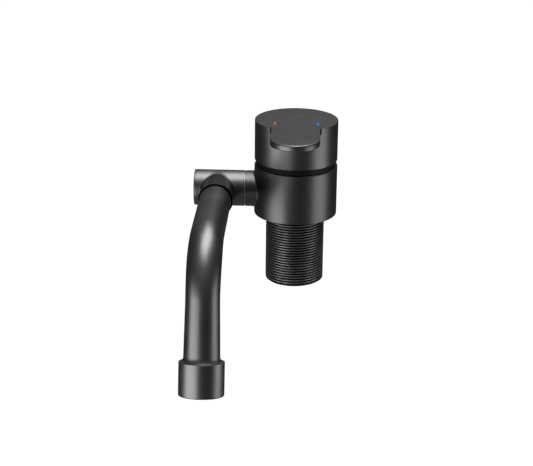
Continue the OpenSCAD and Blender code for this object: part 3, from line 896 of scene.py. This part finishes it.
FINISHES = {
    # The coats of the body, collar, spout and nozzle are the cap's black coat painted darker or lighter part by
    # part: painted shade and painted highlight for how the lamps fall on each.
    "body_coat": black_coat("body_coat", colour=(0.100, 0.100, 0.101), turning=(0, 0, 1),
                            turning_depth=0.0006),
    "cap_coat": black_coat("cap_coat", turning=(0, 0, 1), turning_depth=0.0004),
    "collar_coat": collar_coat("collar_coat"),
    "spout_coat": black_coat("spout_coat", colour=(0.130, 0.130, 0.131)),
    "nozzle_coat": black_coat("nozzle_coat", colour=(0.144, 0.144, 0.145)),
    "black_thread": thread_coat("thread_coat"),
    # Near black, so that the ring below the cap also shows as painted shade in the groove between cap and body.
    "dark_plastic": new_material("dark_plastic", (0.003, 0.003, 0.0032), 0.55, grain=0.15,
                                 depth=0.003, specular=0.2),
    "grey_plastic": new_material("grey_plastic", (0.20, 0.20, 0.205), 0.35, grain=0.15,
                                 depth=0.002, coat=1.0, specular=1.0),
    "white_plastic": new_material("white_plastic", (0.75, 0.74, 0.70), 0.45),
    "ceramic": new_material("ceramic", (0.86, 0.85, 0.80), 0.12, grain=0.1, depth=0.0004),
    "rubber": new_material("rubber", (0.014, 0.014, 0.014), 0.7, grain=0.12, depth=0.004),
    "brass": new_material("brass", (0.60, 0.45, 0.20), 0.28, metallic=1.0, turning=(1, 1, 1),
                          turning_depth=0.001),
    "steel": new_material("steel", (0.55, 0.55, 0.56), 0.30, metallic=1.0, turning=(1, 1, 1),
                          turning_depth=0.001),
    "red_mark": new_material("red_mark", (0.46, 0.065, 0.055), 0.4, specular=0.2),
    "blue_mark": new_material("blue_mark", (0.005, 0.145, 0.39), 0.4, specular=0.2),
}


# The valve body

def main_casting():
    """The round body with its side arm, hollow for the cartridge and the water."""
    wall = lathe([(0, 0), (BODY_R, 0, BODY_FOOT_EDGE), (BODY_R, BODY_H, BODY_EDGE), (0, BODY_H)],
                 step=ROW_STEP)
    arm = branch(BODY_R, ARM_R, ARM_R, ARM_END, ARM_FILLET, ARM_EDGE)
    solid = combined(wall, moved(arm, on_arm(0)), "UNION")
    chamber = lathe([
        (0, FLOOR_T), (CHAMBER_R, FLOOR_T), (CHAMBER_R, NUT_SEAT), (NUT_R, NUT_SEAT),
        (NUT_R, BODY_H - NUT_LEAD), (NUT_R + NUT_LEAD, BODY_H), (NUT_R + NUT_LEAD, BODY_H + OVER),
        (0, BODY_H + OVER),
    ])
    waterway = lathe([
        (0, CHAMBER_R - OVER), (PASSAGE_R, CHAMBER_R - OVER), (PASSAGE_R, ARM_END - SPINDLE_ROOT),
        (SPINDLE_R, ARM_END - SPINDLE_ROOT), (SPINDLE_R, ARM_END + OVER), (0, ARM_END + OVER),
    ], 96)
    underside = lathe([
        (0, -OVER), (MOUTH_R, -OVER), (MOUTH_R, MOUTH_H), (SOCKET_OUT, MOUTH_H),
        (SOCKET_OUT, SOCKET_H), (SOCKET_IN, SOCKET_H), (SOCKET_IN, PORT_RECESS), (0, PORT_RECESS),
    ])
    groove = lathe([
        (SEAL_GROOVE_IN, -OVER), (SEAL_GROOVE_OUT, -OVER), (SEAL_GROOVE_OUT, SEAL_GROOVE_H),
        (SEAL_GROOVE_IN, SEAL_GROOVE_H),
    ], ring=True)
    ports = []
    for side in (-1, 1):
        port = lathe([
            (0, 0), (PORT_R + PORT_LEAD, 0), (PORT_R + PORT_LEAD, PORT_RECESS),
            (PORT_R, PORT_RECESS + PORT_LEAD), (PORT_R, PORT_END), (FEED_R, PORT_END),
            (FEED_R, FLOOR_T + OVER), (0, FLOOR_T + OVER),
        ], 64)
        ports.append(moved(port, shift(side * PORT_X, 0, 0)))
    solid = cut(solid, chamber, moved(waterway, on_arm(0)), underside, groove, *ports)
    finish_piece(solid, "body_casting", "valve", "main_body", "black_metal", "body_coat")


def shank():
    """The shank with its helical thread. The shares are of half a pitch and of the depth."""
    rows_per_turn = 12
    sizes = {
        "Length": SHANK_L,
        "Root Radius": SHANK_R - THREAD_DEPTH,
        "Depth": THREAD_DEPTH,
        "Bore Radius": BORE_R,
        "Pitch": THREAD_PITCH,
        "Root Share": 0.14,
        "Crest Start": 0.80,
        "Entry Share": 0.55,
        "Lead": THREAD_LEAD,
        "Chamfer Slope": 1.2,
        "Chamfer Start": THREAD_CHAMFER,
        "Sides": 128,
        "Rows": round(SHANK_L / THREAD_PITCH * rows_per_turn),
    }
    thread = shape_from_tree(build_thread, "shank_thread", sizes, "black_thread")
    finish_piece(thread, "shank_with_thread", "valve", "threaded_shank", "black_thread")


# The handle

def arc(centre, radius, start, end, count):
    """Points along an arc, with its ends."""
    angles = [start + (end - start) * k / count for k in range(count + 1)]
    return [Vector((centre[0] + radius * math.cos(a), centre[1] + radius * math.sin(a)))
            for a in angles]


def mirrored(points):
    """The same points on the other side, in the opposite order."""
    return [Vector((-p.x, p.y)) for p in reversed(points)]


def cap_outlines():
    """The stretches of the cap's outlines, in their order.

    The outline at the tongue's height is back, left slot, root, tongue, right root and right slot.
    The round one below it is back, under the left slot, under the tongue and under the right slot.
    """
    slot_x = TONGUE_HALF + SLOT_W
    slot_y = -math.sqrt(CAP_R ** 2 - slot_x ** 2)
    root_y = -math.sqrt(CAP_R ** 2 - TONGUE_HALF ** 2)
    side_y = TONGUE_HALF - TONGUE_REACH
    slot = math.atan2(slot_y, slot_x)
    side = math.atan2(root_y, TONGUE_HALF)
    left_slot = [Vector((-slot_x, slot_y + SLOT_IN)), Vector((-TONGUE_HALF, slot_y + SLOT_IN))]
    root = [Vector((-TONGUE_HALF, root_y + (side_y - root_y) * k / 8)) for k in range(8)]
    return {
        "back": arc((0, 0), CAP_R, slot, math.pi - slot, 150),
        "left slot": left_slot,
        "root": root,
        "tongue": arc((0, side_y), TONGUE_HALF, -math.pi, 0, 72),
        "right root": mirrored(root),
        "right slot": mirrored(left_slot),
        "under left": arc((0, 0), CAP_R, -math.pi - slot, -math.pi - side, 2),
        "under tongue": arc((0, 0), CAP_R, -math.pi - side, side, 60),
        "under right": arc((0, 0), CAP_R, side, slot, 2),
    }


def cap_shell():
    """The closed outer shape of the cap with its tongue and the two slots beside it."""
    line = cap_outlines()
    upper = (line["back"] + line["left slot"] + line["root"] + line["tongue"]
             + line["right root"] + line["right slot"])
    below = (line["back"] + line["under left"][1:] + line["under tongue"][1:]
             + line["under right"][1:-1])
    shelf = CAP_TOP - TONGUE_T
    bm = bmesh.new()
    places = {}

    def vertex(point, height):
        """The vertex at this place, which is made once."""
        key = (round(point.x * 1e7), round(point.y * 1e7), round(height * 1e7))
        if key not in places:
            places[key] = bm.verts.new((point.x, point.y, height))
        return places[key]

    def wall(outline, low, high, low_in=0.0):
        """A wall between two heights, with its foot drawn in by low_in."""
        count = len(outline)
        for k in range(count):
            a, b = outline[k], outline[(k + 1) % count]
            a_low, b_low = a * (1 - low_in / CAP_R), b * (1 - low_in / CAP_R)
            bm.faces.new((vertex(a_low, low), vertex(b_low, low), vertex(b, high), vertex(a, high)))

    def plate(outline, height):
        """A flat face."""
        bm.faces.new([vertex(p, height) for p in outline])

    wall(below, CAP_LOW, CAP_LOW + CAP_FOOT_EDGE, CAP_FOOT_EDGE)
    levels = 10
    heights = [CAP_LOW + CAP_FOOT_EDGE + (shelf - CAP_LOW - CAP_FOOT_EDGE) * k / levels
               for k in range(levels + 1)]
    for low, high in zip(heights, heights[1:]):
        wall(below, low, high)
    plate([p * (1 - CAP_FOOT_EDGE / CAP_R) for p in below], CAP_LOW)
    wall(upper, shelf, CAP_TOP)
    plate(upper, CAP_TOP)
    plate(line["under left"] + line["left slot"][::-1], shelf)
    plate(line["under right"] + line["right slot"][::-1], shelf)
    plate(line["root"] + line["tongue"] + line["right root"] + line["under tongue"][-2:0:-1], shelf)
    slot_y = line["under tongue"][0].y

    def share(p):
        """Full on the tongue's round tip, less along its sides and the rim, least in a slot."""
        if abs(p.z - shelf) < TINY and p.xy.length > CAP_R + 2 * TINY:
            return RIM_EDGE / TONGUE_EDGE
        if p.z < CAP_TOP - TINY:
            return 0.0
        if p.xy.length < CAP_R - TINY:
            return SLOT_EDGE / TONGUE_EDGE
        if p.xy.length < CAP_R + TINY:
            return RIM_EDGE / TONGUE_EDGE
        beyond = (slot_y - p.y) / (slot_y + TONGUE_REACH - TONGUE_HALF)
        return (SLOT_EDGE + (TONGUE_EDGE - SLOT_EDGE) * min(1, beyond)) / TONGUE_EDGE

    return softened(mesh_from(bm), TONGUE_EDGE, 4, share)


def mark_outline(gap):
    """The outline of a mark: a short bar with round ends."""
    run = (MARK_L - MARK_W) / 2
    radius = MARK_W / 2 + gap
    return arc((0, run), radius, 0, math.pi, 16) + arc((0, -run), radius, math.pi, 2 * math.pi, 16)


def mark_shape(side, gap, levels):
    """A closed shape over a mark's outline. A level is a share of the outline and a height."""
    middle = (mark_low + mark_high) / 2
    rings = [[(p.x * share, p.y * share, height) for p in mark_outline(gap)]
             for share, height in levels]
    return moved(stacked(rings), shift(side * middle.x, middle.y, 0))


def handle():
    """The cap: hollow below, with a socket for the lever, a screw hole and two mark pockets."""
    cavity = lathe([
        (0, CAP_LOW - OVER), (SKIRT_R, CAP_LOW - OVER), (SKIRT_R, CEILING, CEILING_EDGE),
        (BOSS_R, CEILING, CEILING_EDGE), (BOSS_R, BOSS_Z, TINY / 10), (0, BOSS_Z),
    ])
    socket = block((-STEM_HALF_X, -STEM_HALF_Y, CAP_LOW), (STEM_HALF_X, STEM_HALF_Y, STEM_TOP))
    past_wall = CAP_R + 0.1 * MM
    screw_way = moved(lathe([
        (0, 0), (GRUB_R, 0), (GRUB_R, BOSS_R + OVER), (PLUG_R, BOSS_R + OVER),
        (PLUG_R, past_wall - PLUG_LEAD), (PLUG_R + PLUG_LEAD, past_wall), (0, past_wall),
    ], 64), on_screw())
    pockets = [mark_shape(side, SNUG, [(1.0, CAP_TOP - MARK_T), (1.0, CAP_TOP + OVER)])
               for side in (-1, 1)]
    wide = 2 * CAP_R
    relief = moved(block((-wide, 0, -wide), (wide, wide, 0)),
                   shift(0, RELIEF_Y, CAP_LOW) @ turn(LIFT, "X"))
    solid = cut(cap_shell(), cavity, socket, screw_way, *pockets, relief)
    finish_piece(solid, "handle_with_tongue", "handle", "handle_cap", "black_metal", "cap_coat")


def enamel_mark(name, side, node, slot):
    """A small enamel drop that fills its pocket and crowns level with the cap's face."""
    crown = [(1.0, MARK_T), (1.0, 0.14 * MM), (0.94, 0.07 * MM), (0.75, 0.02 * MM), (0.4, 0)]
    mesh = mark_shape(side, 0, [(share, CAP_TOP - depth) for share, depth in crown])
    finish_piece(mesh, name, "handle", node, slot)


def hole_plug():
    """The plug that closes the screw's hole at the back of the cap, a little domed."""
    face = CAP_R - 0.1 * MM
    radius = PLUG_R - SNUG
    shape = lathe([
        (0, plug_low.y), (radius, plug_low.y), (radius, face - PLUG_SHOULDER, PLUG_EDGE),
        (radius - 1.2 * MM, face - 0.06 * MM), (0, face),
    ], 64)
    finish_piece(moved(shape, on_screw()), "hole_plug", "handle", "screw_plug", "dark_plastic")


def groove_ring():
    """The ring in the groove below the cap, near black as painted shade for that groove. It slopes away at the
    back, where the cap tilts.
    """
    outer = ring_high.x
    shape = lathe([
        (RING_BORE, ring_low.z), (outer, ring_low.z, RING_EDGE_LOW),
        (outer, ring_high.z, RING_EDGE_HIGH), (RING_BORE, ring_high.z),
    ], ring=True)
    wide = 2 * CAP_R
    slope = moved(block((-wide, 0, 0), (wide, wide, wide)),
                  shift(0, 0, ring_high.z) @ turn(-LIFT, "X"))
    finish_piece(cut(shape, slope), "groove_ring", "mixer", "neck_ring", "dark_plastic")


# The folding collar

def folding_collar():
    """The collar with its stub, bored for the spindle, the water and the spout's spigot."""
    outside = lathe([
        (0, COLLAR_START), (ARM_R, COLLAR_START, COLLAR_EDGE_NEAR),
        (ARM_R, COLLAR_END, COLLAR_EDGE_FAR), (0, COLLAR_END),
    ], step=ROW_STEP)
    stub = branch(ARM_R, STUB_ROOT_R, STUB_R, STUB_END, STUB_FILLET, STUB_EDGE)
    solid = combined(moved(outside, on_arm(0)), moved(stub, on_stub(0)), "UNION")
    well = COLLAR_END - WELL_DEPTH
    room_low, room_high = STUB_X - WATER_ROOM_HALF, STUB_X + WATER_ROOM_HALF
    bore = lathe([
        (0, COLLAR_START - OVER), (SPINDLE_R, COLLAR_START - OVER), (SPINDLE_R, room_low),
        (WATER_ROOM_R, room_low), (WATER_ROOM_R, room_high), (SPINDLE_R, room_high),
        (SPINDLE_R, well), (WELL_R, well), (WELL_R, COLLAR_END - WELL_LEAD),
        (WELL_R + WELL_LEAD, COLLAR_END), (WELL_R + WELL_LEAD, COLLAR_END + OVER),
        (0, COLLAR_END + OVER),
    ], 128)
    spigot_way = lathe([
        (0, 0), (SPIGOT_R, 0), (SPIGOT_R, STUB_END - STUB_STEP), (STUB_RIM_R, STUB_END - STUB_STEP),
        (STUB_RIM_R, STUB_END + OVER), (0, STUB_END + OVER),
    ], 96)
    screw_way = moved(
        lathe([(0, -2 * STUB_R), (SET_SCREW_R, -2 * STUB_R), (SET_SCREW_R, 0), (0, 0)], 48),
        shift(-STUB_X, -SET_SCREW_Y, ARM_Z))
    solid = cut(solid, moved(bore, on_arm(0)), moved(spigot_way, on_stub(0)), screw_way)
    finish_piece(solid, "folding_collar", "collar", "swivel_collar", "black_metal", "collar_coat")


def end_disc():
    """The disc that closes the collar's end, dished a little, with a bevelled rim."""
    thick = -end_cap_low.x + end_cap_high.x
    radius = WELL_R - SNUG
    dish_r = radius - DISC_RIM_W - DISC_SLOPE_W
    shape = lathe([
        (0, 0), (radius, 0), (radius, thick, DISC_EDGE), (radius - DISC_RIM_W, thick, DISC_BEND),
        (dish_r, thick - DISC_DISH, DISC_BEND), (0, thick - DISC_DISH),
    ], 128)
    finish_piece(moved(shape, on_arm(-end_cap_high.x)), "end_disc", "collar", "collar_end_cap",
                 "black_metal", "collar_coat")


# The spout

def bent_tube():
    """The spout tube, from the stub's seam to inside the nozzle."""
    start = -STUB_END - SEAM
    sizes = {
        "Run": TUBE_RUN,
        "Bend Radius": BEND_R,
        "Bend Angle": BEND_ANGLE,
        "Drop": TUBE_DROP + TUBE_IN,
        "Inset": TUBE_IN,
        "Radius": TUBE_R,
        "End Radius": FLARE_R,
        "Swell": BEND_SWELL,
        "Foot": TUBE_IN + SHOULDER_H - FLARE_SUNK,
        "Fillet Height": FLARE_FILLET_H,
        "Fillet Width": FLARE_FILLET_W,
        "Fillet Power": 2.2,
        "Wall": TUBE_WALL,
        "Start X": -STUB_X,
        "Start Y": start,
        "Start Z": ARM_Z,
        "Sides": 128,
        "Rows": 260,
    }
    tube = shape_from_tree(build_spout, "spout_path", sizes, "spout_coat")
    tube = softened(tube, TUBE_EDGE, 3, lambda p: float(abs(p.y - start) < TINY))
    finish_piece(tube, "bent_tube", "spout", "spout_tube", "black_metal", "spout_coat")


def nozzle():
    """The sleeve at the tube's end, bored for the tube and the aerator."""
    shape = lathe([
        (FLARE_R + SNUG, -SHOULDER_H), (NOZZLE_R, 0, SHOULDER_EDGE),
        (NOZZLE_R, NOZZLE_L, NOZZLE_EDGE), (NOZZLE_BORE + NOZZLE_LEAD, NOZZLE_L),
        (NOZZLE_BORE, NOZZLE_L - NOZZLE_LEAD), (NOZZLE_BORE, TUBE_IN), (FLARE_R + SNUG, TUBE_IN),
    ], ring=True)
    finish_piece(moved(shape, on_tube_end()), "nozzle_sleeve", "spout", "nozzle_shell",
                 "black_metal", "nozzle_coat")


def aerator():
    """The aerator: a cup whose face is a comb of six-sided holes."""
    bottom = NOZZLE_L - MOUTH_RECESS
    top = TUBE_IN + AERATOR_SEAT
    radius = NOZZLE_BORE - SNUG
    inner = radius - AERATOR_WALL
    rim = lathe([
        (inner, top), (radius, top), (radius, bottom, AERATOR_EDGE),
        (inner + AERATOR_LEAD, bottom), (inner, bottom - AERATOR_LEAD),
    ], 96, ring=True)
    sizes = {
        "Radius": inner + COMB_LAP,
        "Thickness": COMB_BACK - COMB_RECESS,
        "Pitch": COMB_PITCH,
        "Holes Across": 7,
        "Reach": 2.1,
        "Sides": 96,
    }
    comb = shape_from_tree(build_comb, "aerator_comb", sizes, "dark_plastic")
    shape = combined(rim, moved(comb, shift(0, 0, bottom - COMB_BACK)), "UNION")
    finish_piece(moved(shape, on_tube_end()), "aerator_comb", "spout", "aerator_body",
                 "dark_plastic")


main_casting()
shank()
handle()
enamel_mark("hot_enamel", -1, "hot_mark", "red_mark")
enamel_mark("cold_enamel", 1, "cold_mark", "blue_mark")
hole_plug()
groove_ring()
folding_collar()
end_disc()
bent_tube()
nozzle()
aerator()


# The pieces that stay as solids take the finish of their slot

for part in frame["record"]["subparts"]:
    thing = nodes[part["node"]]
    if not thing.hide_render:
        thing.data.materials.clear()
        thing.data.materials.append(FINISHES[part["material_slot"]])


# Studio

FLOOR_DROP = 45 * MM
FLOOR_REACH = 6000 * MM


def softbox(name, azimuth, elevation, distance, width, height, glow, tint=(1, 1, 1)):
    """A soft light panel that faces the tap. Azimuth 0 is in front, and positive to the right."""
    data = bpy.data.lights.new(name, "AREA")
    data.shape = "RECTANGLE"
    data.size = width
    data.size_y = height
    data.energy = glow * math.pi * width * height
    data.color = tint
    lamp = in_scene(name, data)
    a, e = math.radians(azimuth), math.radians(elevation)
    away = Vector((math.sin(a) * math.cos(e), -math.cos(a) * math.cos(e), math.sin(e)))
    facing = away.to_track_quat("Z", "Y").to_matrix().to_4x4()
    lamp.matrix_world = Matrix.Translation(away * distance) @ facing
    lamp.visible_camera = False


def studio_world():
    """White to the camera, and a dim soft room to the tap, brighter from below and above."""
    world = bpy.data.worlds.new("studio")
    bpy.context.scene.world = world
    world.use_nodes = True
    world.node_tree.nodes.clear()
    t = Tree(world.node_tree)
    up = t.split(t.node("ShaderNodeTexCoord").outputs["Generated"])[2]
    ramp = t.node("ShaderNodeValToRGB", {0: t.between(up, -1.0, 1.0)})
    stops = [(0.0, 0.25), (0.2, 0.10), (0.33, 0.05), (0.5, 0.06), (0.72, 0.08), (1.0, 0.4)]
    marks = ramp.color_ramp.elements
    while len(marks) < len(stops):
        marks.new(0.5)
    for mark, (place, shade) in zip(marks, stops):
        mark.position = place
        mark.color = (shade, shade, shade * 1.04, 1)
    room = t.node("ShaderNodeBackground", {"Color": ramp.outputs[0]})
    white = t.node("ShaderNodeBackground", {"Color": (1, 1, 1, 1)})
    to_camera = t.node("ShaderNodeLightPath").outputs["Is Camera Ray"]
    mix = t.node("ShaderNodeMixShader", {0: to_camera, 1: room.outputs[0], 2: white.outputs[0]})
    t.node("ShaderNodeOutputWorld", {0: mix.outputs[0]})


def pale_floor():
    """A plain pale floor. It lights nothing, is open from below and clears the lowered spout."""
    height = cad_low.z - FLOOR_DROP
    bm = bmesh.new()
    corners = [(-1, -1), (1, -1), (1, 1), (-1, 1)]
    bm.faces.new([bm.verts.new((x * FLOOR_REACH, y * FLOOR_REACH, height)) for x, y in corners])
    mesh = bpy.data.meshes.new("floor")
    bm.to_mesh(mesh)
    bm.free()
    material = bpy.data.materials.new("floor")
    material.use_nodes = True
    material.node_tree.nodes.clear()
    t = Tree(material.node_tree)
    matt = t.node("ShaderNodeBsdfDiffuse", {"Color": (0.05, 0.05, 0.05, 1)})
    glow = t.node("ShaderNodeEmission", {"Strength": 1.0})
    lit = t.node("ShaderNodeAddShader", {0: matt.outputs[0], 1: glow.outputs[0]})
    clear = t.node("ShaderNodeBsdfTransparent")
    below = t.node("ShaderNodeNewGeometry").outputs["Backfacing"]
    mix = t.node("ShaderNodeMixShader", {0: below, 1: lit.outputs[0], 2: clear.outputs[0]})
    t.node("ShaderNodeOutputMaterial", {0: mix.outputs[0]})
    mesh.materials.append(material)
    floor = in_scene("floor", mesh)
    floor.visible_glossy = False
    floor.visible_diffuse = False
    floor.visible_shadow = False


studio_world()
pale_floor()
softbox("left_panel", -45, -11.2, 0.65, 0.63, 0.45, 3.65)
softbox("right_panel", 70, -13, 0.31, 0.21, 0.205, 2.25)
softbox("top_panel", 154, 81, 0.9, 0.6, 0.95, 6.3)
softbox("back_panel", 180, 18, 1.3, 1.8, 0.9, 0.102, (0.92, 0.98, 1.12))
bpy.context.scene.view_settings.view_transform = "Standard"
